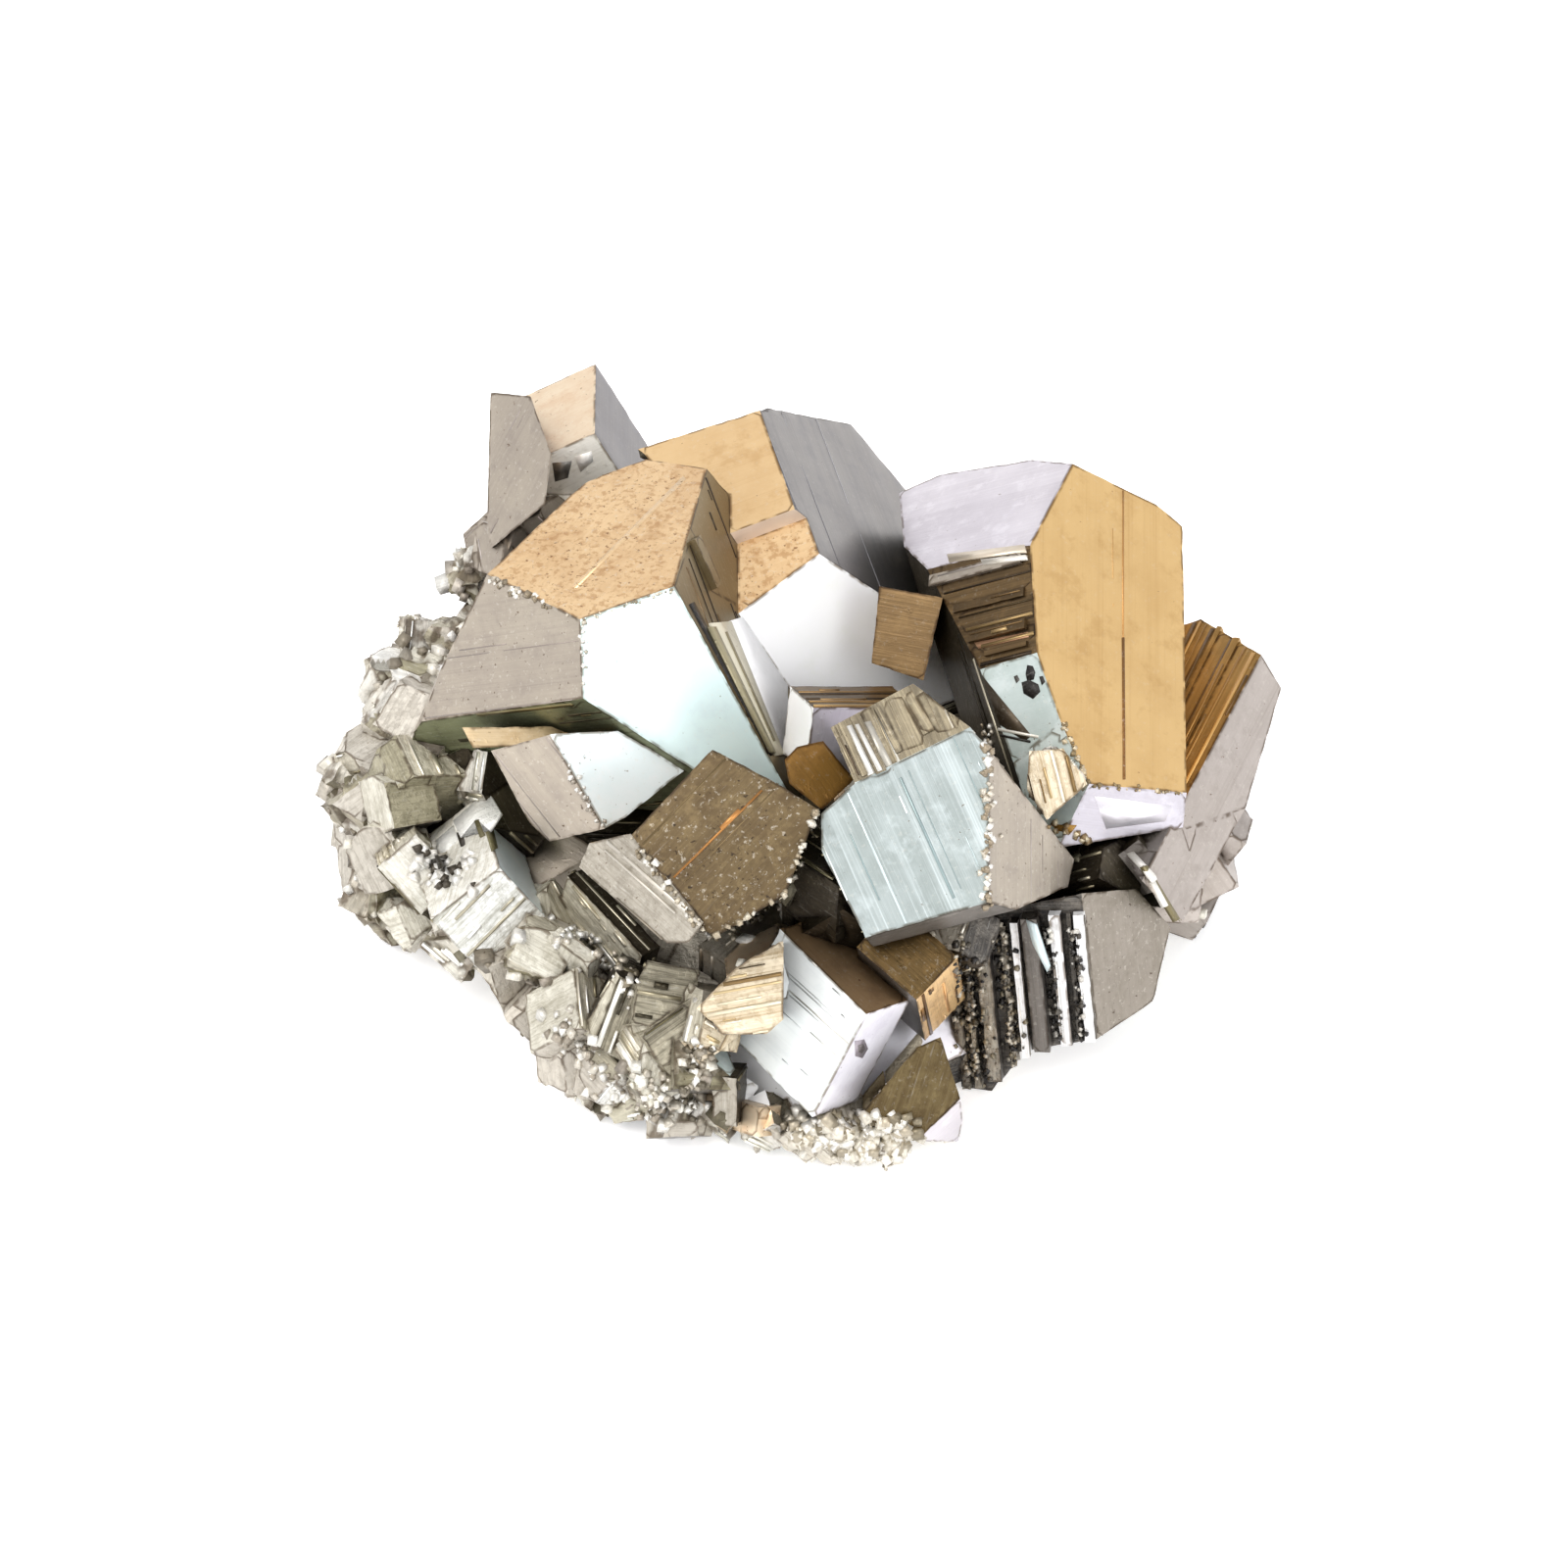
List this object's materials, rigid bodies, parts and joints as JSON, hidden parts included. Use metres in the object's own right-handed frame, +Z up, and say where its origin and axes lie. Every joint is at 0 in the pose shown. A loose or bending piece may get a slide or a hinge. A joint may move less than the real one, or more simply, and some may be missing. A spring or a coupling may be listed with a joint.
{
  "type": "pyrite crystal cluster",
  "caption": "Cluster of intergrown faceted pyrite crystals, brassy and striated, on a granular lump with a flat base.",
  "frame": {"origin": "on the flat base, under the middle of the specimen", "axes": "+Z up from the base, +X along the longest side to the right as seen from the front, -Y to the front"},
  "size_m": [0.0729, 0.0659, 0.0312],
  "materials": {
    "pyrite": "natural crystal faces with a metallic lustre, finely striated and pitted, pale brass"
  },
  "bodies": {
    "root": {"pyrite_cluster": "pyrite"}
  },
  "joints": []
}
